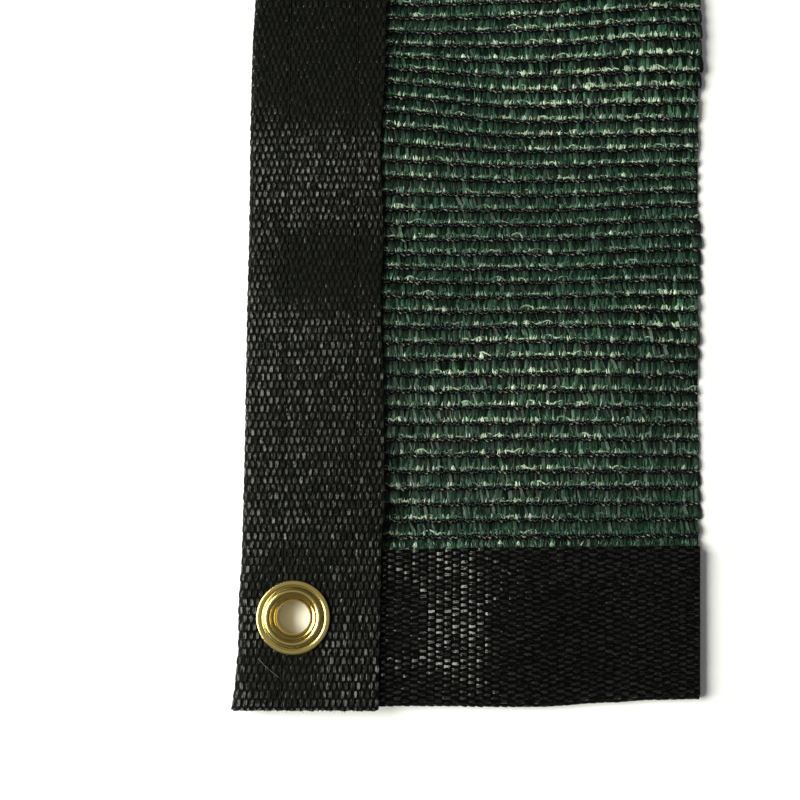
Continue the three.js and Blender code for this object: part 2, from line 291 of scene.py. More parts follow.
# How much laid tapes differ: where their feet stand, as a share of the spacing, how they lean and waver
# sideways, where their lower ends are, and their height as a whole and from station to station.
TAPES_VARY = dict(foot=0.09, lean=0.5, waver=0.05, end=0.035, level=0.07, ripple=0.03)

# The chains: strands in each, their radius, how far they swing, their height over the knit's underside,
# how far the looping strand reaches up, and where the painted highlight lies on a strand's four corners.
CHAIN_STRANDS = 4
BRAIDED_STRANDS = 3
CHAIN_STEPS_PER_STITCH = 5
CHAIN_RADIUS = 0.27
CHAIN_SWING = 0.42
BRAID_SPREAD = 0.26
CHAIN_LEVEL = 1.12
CHAIN_DIP = 0.24
LOOP_FOOT = 0.25
LOOP_RISE = 1.05
CREST_OF_RING = np.array([0.2, 1.0, 0.2, -0.5])

# The scalloped tape edges along the chains.
SCALLOP_STRANDS = 2
SCALLOP_STEPS_PER_STITCH = 4
SCALLOP_FOOT = 0.14
SCALLOP_RISE = 0.7
SCALLOP_LEVEL = 1.22

# The camera: where it aims, from the eyelet's axis, how far off it is, and how far it leans towards the
# lower edge.
AIM = (28.6, 59.4, 3.5)
CAMERA_DISTANCE = 340.0
CAMERA_TILT = math.radians(8.0)
PIXELS_PER_MM = 3.60
SENSOR = 36.0

# The studio, in metres and watts: a large window-like softbox at the left, a weak one overhead, and an
# even pale surround.
LEFT_WINDOW = dict(place=(-0.80, 0.02, 0.66), size=(0.75, 0.80), power=26.0, colour=(0.98, 1.0, 0.90))
OVERHEAD = dict(place=(0.0, 0.0, 1.0), size=(0.8, 0.8), power=0.5, colour=(1.0, 1.0, 1.0))
SURROUND = 0.13
FLOOR_SIZE = 6.0

rng = np.random.default_rng(7)


def fall(q):
    """1 at 0, easing as a squared cosine to 0 at 1 and beyond, the same to both sides."""
    return np.cos(np.minimum(np.abs(q), 1.0) * math.pi / 2) ** 2


def rise(at, start, end):
    """0 up to start, easing as 3t^2 - 2t^3 to 1 at end."""
    t = np.clip((at - start) / (end - start), 0.0, 1.0)
    return t * t * (3 - 2 * t)


def read(rows, by, name, at):
    """The value of a table's column at a place, eased between its rows, which are sorted by `by`."""
    places = np.array([row[by] for row in rows], float)
    values = np.array([row[name] for row in rows], float)
    at = np.asarray(at, float)
    i = np.clip(np.searchsorted(places, at, side="right") - 1, 0, len(places) - 2)
    return values[i] + (values[i + 1] - values[i]) * rise(at, places[i], places[i + 1])


def pushed(patches, x, y):
    """How far the webbing's threads are pushed over: 1, and less in the patches where they are upright.
    A patch is a rounded box, (|u|^3 + |v|^3)^(1/3) < 1, with a wavy edge, and fades towards it."""
    total = 1.0
    for p in patches:
        across = np.abs(x - p["x"]) / p["reach_x"]
        along = np.abs(y - p["y"]) / p["reach_y"]
        out = (across ** 3 + along ** 3) ** (1 / 3) + 0.05 * np.sin(x / 2.7 + y / 6) * np.sin(y / 3.1)
        total = total * (1 - p["upright"] * (1 - rise(out, 1 - p["fade"], 1.0)))
    return total


def side_fold(y):
    """X of the side binding's folded edge."""
    return read(SIDE_FOLD, "y", "x", y)


def side_inner(y):
    """X of the side binding's inner edge."""
    return read(SIDE_INNER, "y", "x", y)


def bottom_fold(x):
    """Y of the bottom binding's folded edge."""
    return read(BOTTOM_FOLD, "x", "y", x)


def bottom_inner(x):
    """Y of the bottom binding's inner edge."""
    return read(BOTTOM_INNER, "x", "y", x)


def right_cut(y):
    """X of the cloth's right-hand cut, a straight line that leans a little."""
    return RIGHT_CUT_AT_EYELET + RIGHT_CUT_LEAN * y


def lift(x, y):
    """Height of the lowest layer: the swells, and the washer's thickness, which holds up the cloth round
    the eyelet and the stiff corner below it."""
    past = np.hypot(x, np.maximum(0, y)) - EYELET_FLAT
    total = EYELET_LIFT * fall(np.maximum(0, past) / EYELET_FALL)
    for s in SWELLS:
        across = (x - s["x"]) / np.where(x < s["x"], s["left"], s["right"])
        along = (y - s["y"]) / np.where(y < s["y"], s["down"], s["up"])
        total = total + s["high"] * fall(across) * fall(along)
    return total


def coming_down(past, run=STEP_RUN):
    """1 on a sheet below and just past its edge, easing to 0 where the upper sheet is down."""
    return fall(np.maximum(0, past - EDGE_CLEARANCE) / run)


def side_back(x, y):
    """Underside of the side binding's back layer, the lowest of all."""
    return lift(x, y)


def bottom_back(x, y):
    """Underside of the bottom binding's back layer, which comes down off the side binding's."""
    return lift(x, y) + WEBBING_STEP * coming_down(x - SIDE_BACK_EDGE)


def bottom_front(x, y):
    """Underside of the bottom binding's front layer, two layers up."""
    return lift(x, y) + WEBBING_STEP + KNIT_STEP


def side_front(x, y):
    """Underside of the side binding's front layer, which comes down off the bottom binding's."""
    return bottom_front(x, y) + WEBBING_STEP * coming_down(y - bottom_inner(x), SIDE_STEP_RUN)


def knit_underside(x, y):
    """Underside of the knit, which comes down off the back layers past both their edges."""
    past = np.minimum(np.maximum(0, x - SIDE_BACK_EDGE), np.maximum(0, y - BOTTOM_BACK_EDGE))
    return lift(x, y) + WEBBING_STEP * coming_down(past)


def row_height(row, x):
    """Y of a chain row, or of a part of a row pitch, at x: even spacing plus the rows' drift."""
    left = read(ROW_DRIFT, "row", "left", row)
    middle = read(ROW_DRIFT, "row", "middle", row)
    right = read(ROW_DRIFT, "row", "right", row)
    held = left + (middle - left) * rise(x, DRIFT_X["left"], DRIFT_X["middle"])
    further = (right - middle) * rise(x, DRIFT_X["middle"], DRIFT_X["right"])
    return FIRST_ROW + ROW_PITCH * row + held + further


def make_piece(name, points, faces, material, marks=None, extra_faces=(), smooth=True):
    """A mesh object from points in millimetres and an array of four-cornered faces.
    marks are per-point numbers for the material, and extra_faces are lists with more corners."""
    points = np.asarray(points, float).reshape(-1, 3)
    faces = np.asarray(faces, np.int64).reshape(-1, 4)
    corners = np.concatenate([faces.ravel(), *[np.asarray(f, np.int64) for f in extra_faces]])
    totals = np.concatenate([np.full(len(faces), 4), [len(f) for f in extra_faces]]).astype(np.int32)
    starts = np.concatenate([[0], np.cumsum(totals)[:-1]]).astype(np.int32)
    mesh = bpy.data.meshes.new(name)
    mesh.vertices.add(len(points))
    mesh.vertices.foreach_set("co", (points * MM + EYELET).astype(np.float32).ravel())
    mesh.loops.add(len(corners))
    mesh.loops.foreach_set("vertex_index", corners.astype(np.int32))
    mesh.polygons.add(len(totals))
    mesh.polygons.foreach_set("loop_start", starts)
    mesh.polygons.foreach_set("loop_total", totals)
    mesh.polygons.foreach_set("use_smooth", np.full(len(totals), smooth))
    for mark, values in (marks or {}).items():
        attribute = mesh.attributes.new(mark, "FLOAT", "POINT")
        attribute.data.foreach_set("value", np.asarray(values, np.float32).ravel())
    mesh.update(calc_edges=True)
    mesh.validate()
    mesh.materials.append(material)
    piece = bpy.data.objects.new(name, mesh)
    bpy.context.scene.collection.objects.link(piece)
    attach(piece, "root")
    return piece


def tubes(centres, side, over, half_wide, half_thick):
    """Many closed tubes of four corners: corner = centre +- side * half_wide or +- over * half_thick.
    centres, side and over are (tubes, steps, 3), and side x over points along the tube."""
    count, steps, _ = centres.shape
    wide, thick = side * half_wide[..., None], over * half_thick[..., None]
    ring = np.stack([centres + wide, centres + thick, centres - wide, centres - thick], axis=2)
    first = np.arange(count)[:, None, None] * steps * 4
    i = np.arange(steps - 1)[None, :, None] * 4
    j = np.arange(4)[None, None, :]
    k = (j + 1) % 4
    walls = np.stack([first + i + j, first + i + k, first + i + 4 + k, first + i + 4 + j], axis=-1)
    start = np.arange(count)[:, None] * steps * 4
    caps = np.concatenate([start + np.array([3, 2, 1, 0]), start + (steps - 1) * 4 + np.arange(4)])
    return ring.reshape(-1, 3), np.concatenate([walls.reshape(-1, 4), caps])


def frames_along(centres):
    """Unit side and over vectors for tubes: over leans from straight up, square to the path."""
    along = np.gradient(centres, axis=1)
    along /= np.linalg.norm(along, axis=-1, keepdims=True)
    side = np.cross(UPWARD, along)
    side /= np.linalg.norm(side, axis=-1, keepdims=True)
    return side, np.cross(along, side)


def yarns(centres, half_wide, half_thick):
    """Tubes whose upper corner stands straight up from the path."""
    half_wide, half_thick = [np.broadcast_to(half, centres.shape[:2]) for half in (half_wide, half_thick)]
    return tubes(centres, *frames_along(centres), half_wide, half_thick)


def turned(profile, steps):
    """A ring from a closed profile of (radius, height) turned about Z: points and faces."""
    profile = np.asarray(profile, float)
    turn = np.linspace(0, 2 * math.pi, steps, endpoint=False)[:, None]
    radius, height = profile[None, :, 0], profile[None, :, 1]
    points = np.stack([radius * np.cos(turn), radius * np.sin(turn), height + 0 * turn], axis=-1)
    count = len(profile)
    i = np.arange(steps)[:, None]
    j = np.arange(count)[None, :]
    here, there = i * count, (i + 1) % steps * count
    after = (j + 1) % count
    faces = np.stack([here + j, there + j, there + after, here + after], axis=-1)
    return points.reshape(-1, 3), faces.reshape(-1, 4)


class Value:
    """A shader socket that takes part in arithmetic: each operator adds its Math node, also in its
    reflected form, as in 1 - mask."""

    def __init__(self, shader, socket):
        self.shader = shader
        self.socket = socket

    def __add__(self, other):
        return self.shader.maths("ADD", self, other)

    def __sub__(self, other):
        return self.shader.maths("SUBTRACT", self, other)

    def __rsub__(self, other):
        return self.shader.maths("SUBTRACT", other, self)

    def __mul__(self, other):
        return self.shader.maths("MULTIPLY", self, other)

    __radd__ = __add__
    __rmul__ = __mul__


class Shader:
    """A material with a Principled surface, built from expressions."""

    def __init__(self, name):
        self.material = bpy.data.materials.new(name)
        self.material.use_nodes = True
        self.tree = self.material.node_tree
        self.surface = self.tree.nodes["Principled BSDF"]

    def node(self, kind, settings=None, sockets=None, out=0):
        """Any node: its settings are set first, then the values or links of its sockets."""
        made = self.tree.nodes.new(kind)
        for key, value in (settings or {}).items():
            setattr(made, key, value)
        for key, value in (sockets or {}).items():
            self.put(made.inputs[key], value)
        return Value(self, made.outputs[out])

    def put(self, socket, value):
        if isinstance(value, Value):
            self.tree.links.new(value.socket, socket)
        else:
            socket.default_value = value

    def maths(self, operation, a, b):
        return self.node("ShaderNodeMath", {"operation": operation}, {0: a, 1: b})

    def mix(self, share, a, b):
        return self.node("ShaderNodeMix", {"data_type": "RGBA"}, {0: share, 6: a, 7: b}, out=2)

    def between(self, value, low, high, to_low=0.0, to_high=1.0):
        sockets = {0: value, 1: low, 2: high, 3: to_low, 4: to_high}
        return self.node("ShaderNodeMapRange", {"interpolation_type": "SMOOTHSTEP"}, sockets)

    def mark(self, name):
        return self.node("ShaderNodeAttribute", {"attribute_name": name}, out=2)

    def place(self, scale, centre=(0, 0, 0)):
        """Object coordinates about a centre, scaled along each axis by scale."""
        coordinates = self.node("ShaderNodeTexCoord", out=3)
        moved = tuple(-c * s for c, s in zip(centre, scale))
        return self.node("ShaderNodeMapping", None, {0: coordinates, 1: moved, 3: scale})

    def noise(self, vector, scale, detail=2.0, roughness=0.5):
        sockets = {"Vector": vector, "Scale": scale, "Detail": detail, "Roughness": roughness}
        return self.node("ShaderNodeTexNoise", None, sockets)

    def bump(self, height, distance, strength=1.0):
        sockets = {"Height": height, "Distance": distance, "Strength": strength}
        return self.node("ShaderNodeBump", None, sockets)

    def finish(self, **inputs):
        for key, value in inputs.items():
            self.put(self.surface.inputs[key.replace("_", " ")], value)
        return self.material


def rgb(r, g, b):
    return (r, g, b, 1.0)


def green_tape():
    """Thin satin polyethylene tape: teal green with fine streaks along each tape. The tone mark sets the
    green from near black to pale: near black for dim tapes and as painted shade towards a chain above, a
    lighter satin green for higher tones, raised as painted light in the slack patches, and pale where
    folded over a chain, partly the tape's own whitening and partly painted highlight."""
    s = Shader("green_tape")
    tone = s.mark("tone")
    streaks = s.noise(s.place((2.6, 0.5, 1.0)), 900.0, 4.0, 0.65)
    patches = s.noise(s.place((1.0, 1.0, 1.0)), 60.0, 2.0)
    green = s.mix(s.between(streaks, 0.36, 0.66), rgb(0.003, 0.010, 0.006), rgb(0.030, 0.070, 0.042))
    # Near black for the lowest tones: dim tapes, and painted shade towards the chain above.
    deep = s.mix(s.between(tone, -0.45, 0.15), rgb(0.0015, 0.005, 0.003), green)
    pale = s.mix(patches, rgb(0.20, 0.27, 0.18), rgb(0.55, 0.62, 0.48))
    worked = tone + (streaks - 0.5) * 0.5
    # A lighter satin green for higher tones, raised as painted light where the slack patches lie.
    toned_and_lit = s.mix(s.between(worked, 0.1, 0.55), deep, rgb(0.036, 0.100, 0.062))
    # Pale where folded over a chain: partly the tape's own whitening, partly painted highlight.
    fold = s.between(worked, 0.40, 1.0)
    return s.finish(
        Base_Color=s.mix(fold, toned_and_lit, pale),
        Roughness=0.45,
        Normal=s.bump(streaks, 0.00010),
        Specular_IOR_Level=0.12,
        Coat_Weight=fold * 0.6 + 0.1,
        Coat_Roughness=0.28,
        Coat_Tint=(0.88, 1.0, 0.88, 1.0),
    )


def black_yarn():
    """Round black monofilament with a soft shine, and a brownish painted highlight along a strand's upper
    corner where it lies uppermost.
    """
    s = Shader("black_yarn")
    drawn = s.noise(s.place((1.0, 4.0, 4.0)), 700.0, 2.0)
    # Painted highlight, broken up by the drawn noise: brownish where the tone mark is high.
    wear_and_painted_glint = s.between(s.mark("tone") + (drawn - 0.5) * 0.8, 0.35, 1.0)
    return s.finish(
        Base_Color=s.mix(wear_and_painted_glint, rgb(0.0012, 0.0012, 0.0011), rgb(0.215, 0.192, 0.172)),
        Roughness=0.4,
        Normal=s.bump(drawn, 0.00004),
        Specular_IOR_Level=0.25,
    )


def knit_backing():
    """The knit's ground slab behind the tapes, seen between them: the tapes' green painted very dark, as
    painted shade in the depths of the knit.
    """
    s = Shader("knit_backing")
    streaks = s.noise(s.place((6.0, 0.8, 1.0)), 700.0, 2.0)
    colour = s.mix(streaks, rgb(0.001, 0.003, 0.002), rgb(0.004, 0.012, 0.008))
    return s.finish(
        Base_Color=colour,
        Roughness=0.55,
        Normal=s.bump(streaks, 0.0002),
        Specular_IOR_Level=0.1,
    )


def black_webbing(name, along_y, gloss, body):
    """Woven black tape yarn: shiny along each float, dull and darker down in the weave, where the darker
    black is painted shade. `gloss` is the strength of its shine, and `body` lightens or darkens the black
    itself,
    as painted light and shade: lighter on the side binding and darker on the bottom one, for how the light
    falls on each."""
    s = Shader(name)
    crest = s.mark("crest")
    tone = s.mark("tone")
    stretch = (1.0, 0.3, 1.0) if along_y else (0.3, 1.0, 1.0)
    fibres = s.noise(s.place(stretch), 4200.0, 3.0)
    wear_and_painted_glint = s.noise(s.place((1.0, 1.0, 1.0)), 90.0, 3.0)
    rubbed = s.noise(s.place(stretch), 1900.0, 2.0)
    high = s.between(crest + (fibres - 0.5) * 2.8 + (rubbed - 0.5) * 4.0, 0.45, 1.15)
    # Painted shade: the black is darker down in the weave and lighter on the crests.
    sunk = rgb(body * 0.0016, body * 0.0020, body * 0.0015)
    risen = rgb(body * 0.0042, body * 0.0044, body * 0.0030)
    return s.finish(
        Base_Color=s.mix(high, sunk, risen),
        Roughness=0.7,
        Normal=s.bump(fibres, 0.00012),
        Specular_IOR_Level=0.04,
        Coat_Weight=high * s.between(tone + (wear_and_painted_glint - 0.5), 0.1, 0.9, 0.6 * gloss, gloss),
        Coat_Roughness=0.24,
        Coat_Tint=(1.0, 0.95, 0.76, 1.0),
    )


def black_thread():
    """Dull black sewing thread."""
    s = Shader("black_thread")
    twist = s.noise(s.place((1.0, 1.0, 1.0)), 1500.0, 1.0)
    colour = s.mix(twist, rgb(0.002, 0.002, 0.002), rgb(0.006, 0.006, 0.006))
    return s.finish(
        Base_Color=colour,
        Roughness=0.6,
        Normal=s.bump(twist, 0.00005),
        Specular_IOR_Level=0.1,
    )


def pale_fibre():
    """One pale, slightly shiny hair."""
    s = Shader("pale_fibre")
    run = s.noise(s.place((1.0, 1.0, 1.0)), 300.0, 1.0)
    return s.finish(Base_Color=s.mix(run, rgb(0.20, 0.20, 0.18), rgb(0.42, 0.41, 0.37)), Roughness=0.45)


def bright_brass():
    """Polished pressed brass: faint turning marks round the eyelet, small dulled spots."""
    s = Shader("bright_brass")
    about_eyelet = s.place((1.0, 1.0, 1.0), tuple(EYELET))
    dull = s.noise(about_eyelet, 160.0, 4.0, 0.6)
    fine = s.noise(s.place((1.0, 1.0, 3.0)), 1400.0, 2.0)
    colour = s.mix(s.between(dull, 0.35, 0.75), rgb(0.64, 0.51, 0.17), rgb(0.48, 0.37, 0.10))
    return s.finish(
        Base_Color=colour,
        Metallic=1.0,
        Roughness=s.between(dull, 0.35, 0.8, 0.17, 0.25),
        Normal=s.bump(fine, 0.000012),
    )


def weave_numbers(end, pick):
    """Which end, and which float of that end, each point is on, and its distance along from the float's
    middle, in picks. The floats are one pick on from end to end."""
    number = np.floor(end + 1e-6)
    phase = pick + number
    floats = np.round(phase / 2)
    return number.astype(int), floats.astype(int), phase - 2 * floats


def weave_height(across, offset, skew, tilt):
    """The plain weave's height and the wave along an end, at a place across the end, from 0 to 1, and an
    offset from a float's middle. The end is a ridge sin(pi across^skew), steeper on its far flank. Along
    it the wave is flat-topped, sin(pi/2 sin(pi/2 cos(pi offset))), and the height is
    ridge * (0.42 + 0.58 wave + tilt * offset), with the tilt on risen floats alone."""
    wave = np.sin(math.pi / 2 * np.sin(math.pi / 2 * np.cos(math.pi * offset)))
    ridge = np.sin(math.pi * across ** skew)
    return ridge * (0.42 + 0.58 * wave + tilt * (wave > 0) * offset), wave


def weave_slip(across, wave):
    """How far a column slips sideways, in ends: a risen float spreads over its sunk neighbours."""
    up = (wave + 1) / 2
    return np.where(across < 0.1, 0.18 * (1 - 2 * up), 0.27 * up * np.sign(np.round(across - 0.5, 2)))


def webbing_line(along, fold_at, back_edge, front_edge, back, front):
    """The strip's outer line at each place along it: from the back layer's edge to the fold, round a half
    circle, and out to the front layer's edge. Gives the places across, the heights, the X and Z of the
    direction out of the webbing, and the warp end that each column is on."""
    fold = fold_at(along)
    radius = (front(fold, along) + WEBBING_THICK - back(fold, along)) / 2
    bend = fold + radius
    middle = back(bend, along) + radius
    front_to = front_edge(along)
    usual_bend = float(np.median(bend))
    ends_back = int(round((back_edge - usual_bend) / END_PITCH))
    ends_fold = int(round(math.pi * float(np.median(radius)) / END_PITCH))
    ends_front = int(round((float(np.median(front_to)) - usual_bend) / END_PITCH))
    columns_back = ends_back * BACK_COLUMNS
    columns_fold = ends_fold * FRONT_COLUMNS
    columns_front = ends_front * FRONT_COLUMNS + 1
    q_back = np.linspace(0, 1, columns_back, endpoint=False)[None]
    q_fold = np.linspace(0, math.pi, columns_fold, endpoint=False)[None]
    q_front = np.linspace(0, 1, columns_front)[None]

    x_back = back_edge + (bend - back_edge) * q_back
    x_fold = bend - radius * np.sin(q_fold)
    x_front = bend + (front_to - bend) * q_front
    z_back = back(x_back, along)
    z_fold = middle - radius * np.cos(q_fold)
    z_front = front(x_front, along) + WEBBING_THICK
    across = np.concatenate([x_back, x_fold, x_front], axis=1)
    height = np.concatenate([z_back, z_fold, z_front], axis=1)
    zero = np.zeros_like(along)
    out_x = np.concatenate([0 * x_back, -np.sin(q_fold) + zero, 0 * x_front], axis=1)
    out_z = np.concatenate([0 * x_back - 1, -np.cos(q_fold) + zero, 0 * x_front + 1], axis=1)
    on_back = np.arange(columns_back) / BACK_COLUMNS
    on_front = ends_back + np.arange(columns_fold + columns_front) / FRONT_COLUMNS
    return across, height, out_x, out_z, np.concatenate([on_back, on_front])[None]


def woven_floats(along, end, over, skew, tilt):
    """The weave on the outer line: how far each point stands out and slips sideways, and its crest and
    tone for the material. Each float differs a little, and where it is pushed over, `over` near 1, its
    far flank is steeper by `skew` and its face tips lengthways by `tilt`."""
    vary = FLOATS_VARY
    pick = (along - along[0]) / PICK_PITCH + 0.5 / ROWS_PER_PICK
    number, floats, offset = weave_numbers(end, pick)
    all_floats = (number.max() + 1, floats.max() + 1)
    stand = rng.uniform(vary["lowest"], vary["highest"], all_floats)[number, floats]
    tone = rng.random(all_floats)[number, floats]
    slant = rng.normal(vary["slant"], vary["slant_spread"], all_floats)
    slant = np.clip(slant, -vary["slant_most"], vary["slant_most"])[number, floats]
    push = over + rng.normal(0, vary["push_spread"], all_floats)[number, floats]
    push = np.clip(push, 0, vary["push_most"])
    scatter = rng.normal(0, vary["tip_spread"], all_floats)[number, floats]
    tip = tilt * push + scatter * (0.3 + 0.7 * push)
    steep = rng.uniform(vary["flattest"], vary["steepest"], all_floats)[number, floats]
    steep = (1 + skew * push) * steep
    inside = end - number
    weave, wave = weave_height(inside, offset, steep, tip)
    stands = FLOAT_RISE * (weave * stand - FLOAT_SINK) * (0.6 + 0.4 * push)
    slip = weave_slip(inside, wave) + slant * np.sin(math.pi * offset) * (inside > 0.1)
    crest = (0.5 + 0.5 * wave) * np.where(inside > 0.1, 1.0, 0.45)
    return stands, slip * END_PITCH, crest, tone


def every_few(count):
    """Every INNER_EVERY-th of `count` points, and the last."""
    return np.unique(np.append(np.arange(0, count, INNER_EVERY), count - 1))


def strip_faces(rows, cols, rows_in, cols_in):
    """Faces of the outer grid and of the coarser inner grid after it, and the rims that join their edges:
    each rim face runs along one inner edge and the outer points beside it."""
    i, j = np.meshgrid(np.arange(rows - 1), np.arange(cols - 1), indexing="ij")
    a = i * cols + j
    outer = np.stack([a, a + 1, a + cols + 1, a + cols], axis=-1).reshape(-1, 4)
    base = rows * cols
    wide = len(cols_in)
    i, j = np.meshgrid(np.arange(len(rows_in) - 1), np.arange(wide - 1), indexing="ij")
    b = base + i * wide + j
    inner = np.stack([b, b + wide, b + wide + 1, b + 1], axis=-1).reshape(-1, 4)
    last = base + (len(rows_in) - 1) * wide
    rims = []
    for n in range(wide - 1):
        run = np.arange(cols_in[n], cols_in[n + 1] + 1)
        rims.append([*run[::-1], base + n, base + n + 1])
        rims.append([*((rows - 1) * cols + run), last + n + 1, last + n])
    for n in range(len(rows_in) - 1):
        run = np.arange(rows_in[n], rows_in[n + 1] + 1) * cols
        here = base + n * wide
        rims.append([*run, here + wide, here])
        rims.append([*(run[::-1] + cols - 1), here + wide - 1, here + 2 * wide - 1])
    return np.concatenate([outer, inner]), rims


def folded_webbing(name, material, along, layers, seams, over, weave, turn):
    """One strip of webbing folded in half. The weave stands on webbing_line, grooved by exp(-(d / w)^2)
    along each sewn line of its front layer, and a coarser inner face lies INNER_DEPTH inside it. `over`
    gives how far the floats are pushed over, and `turn` puts (along, across, height) into X, Y, Z."""
    along = along[:, None]
    across, height, out_x, out_z, end = webbing_line(along, **layers)
    stands, slip, crest, tone = woven_floats(along, end, over(along, across), **weave)
    for seam in seams:
        groove = np.exp(-(((across - seam) / SEAM_HALF_WIDTH) ** 2)) * (out_z > 0)
        stands = stands - SEAM_GROOVE * groove
    lengthways = np.broadcast_to(along, across.shape)
    outer = turn(lengthways, across + out_x * stands + slip * np.abs(out_z), height + out_z * stands)

    rows, cols = across.shape
    rows_in, cols_in = every_few(rows), every_few(cols)
    sparse = np.ix_(rows_in, cols_in)
    inner_x = across[sparse] - out_x[sparse] * INNER_DEPTH
    inner_z = height[sparse] - out_z[sparse] * INNER_DEPTH
    inner = turn(lengthways[sparse], inner_x, inner_z)

    faces, rims = strip_faces(rows, cols, rows_in, cols_in)
    facing = np.cross(outer[0, 1] - outer[0, 0], outer[1, 0] - outer[0, 0])[2] * out_z[0, 0]
    if facing < 0:
        faces = faces[:, ::-1]
        rims = [rim[::-1] for rim in rims]
    points = np.concatenate([outer.reshape(-1, 3), inner.reshape(-1, 3)])
    unmarked = np.zeros(len(points) - crest.size)
    marks = {"crest": np.append(crest, unmarked), "tone": np.append(tone, unmarked)}
    return pierce(make_piece(name, points, faces, material, marks, rims, smooth=False))


def pierce(piece):
    """Cuts the eyelet's round hole through a piece."""
    bpy.ops.mesh.primitive_cylinder_add(
        vertices=PUNCH_SIDES, radius=PIERCED_RADIUS * MM, depth=PUNCH_DEPTH, location=tuple(EYELET)
    )
    punch = bpy.context.object
    cut = piece.modifiers.new("eyelet_hole", "BOOLEAN")
    cut.operation = "DIFFERENCE"
    cut.object = punch
    cut.solver = "MANIFOLD"
    graph = bpy.context.evaluated_depsgraph_get()
    done = bpy.data.meshes.new_from_object(piece.evaluated_get(graph), depsgraph=graph)
    piece.modifiers.clear()
    piece.data = done
    bpy.data.objects.remove(punch)
    return piece


def side_webbing(material):
    """The strip folded over the left edge. Two sine waves make the last 1.2 mm of its lower end ragged."""
    count = int(round((TOP_CUT - SIDE_LOWER_CUT) / PICK_PITCH * ROWS_PER_PICK))
    along = np.linspace(SIDE_LOWER_CUT, TOP_CUT, count + 1)

    def turn(y, x, z):
        ragged = 0.16 * np.sin(5.3 * x) + 0.12 * np.sin(13.0 * x + 1.0)
        end = np.clip(1 - (y - SIDE_LOWER_CUT) / 1.2, 0, 1)
        return np.stack([x, y + ragged * end, z], axis=-1)

    def over(y, x):
        return pushed(SIDE_UPRIGHT, x, y)

    layers = dict(
        fold_at=side_fold,
        back_edge=SIDE_BACK_EDGE,
        front_edge=side_inner,
        back=side_back,
        front=side_front,
    )
    return folded_webbing("side_webbing", material, along, layers, SIDE_SEAMS, over, SIDE_WEAVE, turn)


def bottom_webbing(material):
    """The strip folded over the bottom edge, drawn out along its length so that its right end follows the
    cut.
    """
    count = int(round((RIGHT_CUT_AT_EYELET - TUCKED_LEFT_END) / PICK_PITCH * ROWS_PER_PICK))
    along = np.linspace(TUCKED_LEFT_END, RIGHT_CUT_AT_EYELET, count + 1)

    def turn(x, y, z):
        share = (x - TUCKED_LEFT_END) / (RIGHT_CUT_AT_EYELET - TUCKED_LEFT_END)
        return np.stack([TUCKED_LEFT_END + (right_cut(y) - TUCKED_LEFT_END) * share, y, z], axis=-1)

    def over(x, y):
        return pushed(BOTTOM_UPRIGHT, x, y)

    layers = dict(
        fold_at=bottom_fold,
        back_edge=BOTTOM_BACK_EDGE,
        front_edge=bottom_inner,
        back=lambda y, x: bottom_back(x, y),
        front=lambda y, x: bottom_front(x, y),
    )
    return folded_webbing("bottom_webbing", material, along, layers, BOTTOM_SEAMS, over, BOTTOM_WEAVE, turn)


def shown(x, y):
    """0 inside a binding, easing to 1 a little way out from its edge."""
    out_of_side = rise(x, side_inner(y) - 0.5, side_inner(y) + 2.0)
    return out_of_side * rise(y, bottom_inner(x) - 0.5, bottom_inner(x) + 2.0)


def height_kept(x, y):
    """The share of their height that the knit's yarns keep: 0.6 pressed in a binding, 1 out of it."""
    return 0.6 + 0.4 * shown(x, y)


def slab_faces(n, m):
    """Faces that close a slab between an upper grid of n by m points and a lower one after it."""
    below = n * m
    i, j = np.meshgrid(np.arange(n - 1), np.arange(m - 1), indexing="ij")
    a = i * m + j
    b = a + below
    i, j = np.arange(n - 1), np.arange(m - 1)
    left = i * m
    right = i * m + m - 1
    far = (n - 1) * m + j
    sides = [
        [a, a + 1, a + m + 1, a + m],
        [b, b + m, b + m + 1, b + 1],
        [left, left + m, left + m + below, left + below],
        [right + m, right, right + below, right + m + below],
        [j + 1, j, j + below, j + 1 + below],
        [far, far + 1, far + 1 + below, far + below],
    ]
    return np.concatenate([np.stack(side, axis=-1).reshape(-1, 4) for side in sides])


def knit_ground(material):
    """The closed slab behind the tapes. Where it shows it is thickest at the chain rows, by cos(2 pi row)
    on each face, and its upper face is pleated finely across by a sine wave."""
    in_rows = np.arange(ROW_COUNT * GROUND_STEPS_PER_ROW) / GROUND_STEPS_PER_ROW
    row = np.concatenate([[-1.0, -0.5], in_rows, [ROW_COUNT - 0.02]])[:, None]
    share = np.linspace(0, 1, GROUND_COLUMNS)[None]
    rough = FIRST_ROW + ROW_PITCH * row
    x = TUCKED_LEFT_END + (right_cut(rough) - TUCKED_LEFT_END) * share
    trim = (KNIT_TRIMMED_EDGE - KNIT_TUCKED_EDGE) * rise(x, KNIT_TRIM_FROM, KNIT_TRIM_TO)
    low_edge = KNIT_TRIMMED_EDGE - trim
    tucked = low_edge + (row_height(0.0, x) - low_edge) * (row + 1)
    y = np.where(row < 0, tucked, np.minimum(row_height(row, x), TOP_CUT - GROUND_SHORT_OF_CUT))
    base = knit_underside(x, y)
    out = shown(x, y)
    ridge = GROUND_RIDGE * np.cos(2 * math.pi * row) * out
    pleat = PLEAT_RISE * np.sin(2 * math.pi * x / PLEAT_PITCH + 3 * np.sin(row * 2.2)) * out
    hollow = GROUND_HOLLOW * np.cos(2 * math.pi * row) * out
    top = np.stack([x, y, base + GROUND_TOP + ridge + pleat], axis=-1)
    under = np.stack([x, y, base + GROUND_UNDER - hollow], axis=-1)
    points = np.concatenate([top.reshape(-1, 3), under.reshape(-1, 3)])
    return make_piece("knit_ground", points, slab_faces(*x.shape), material)


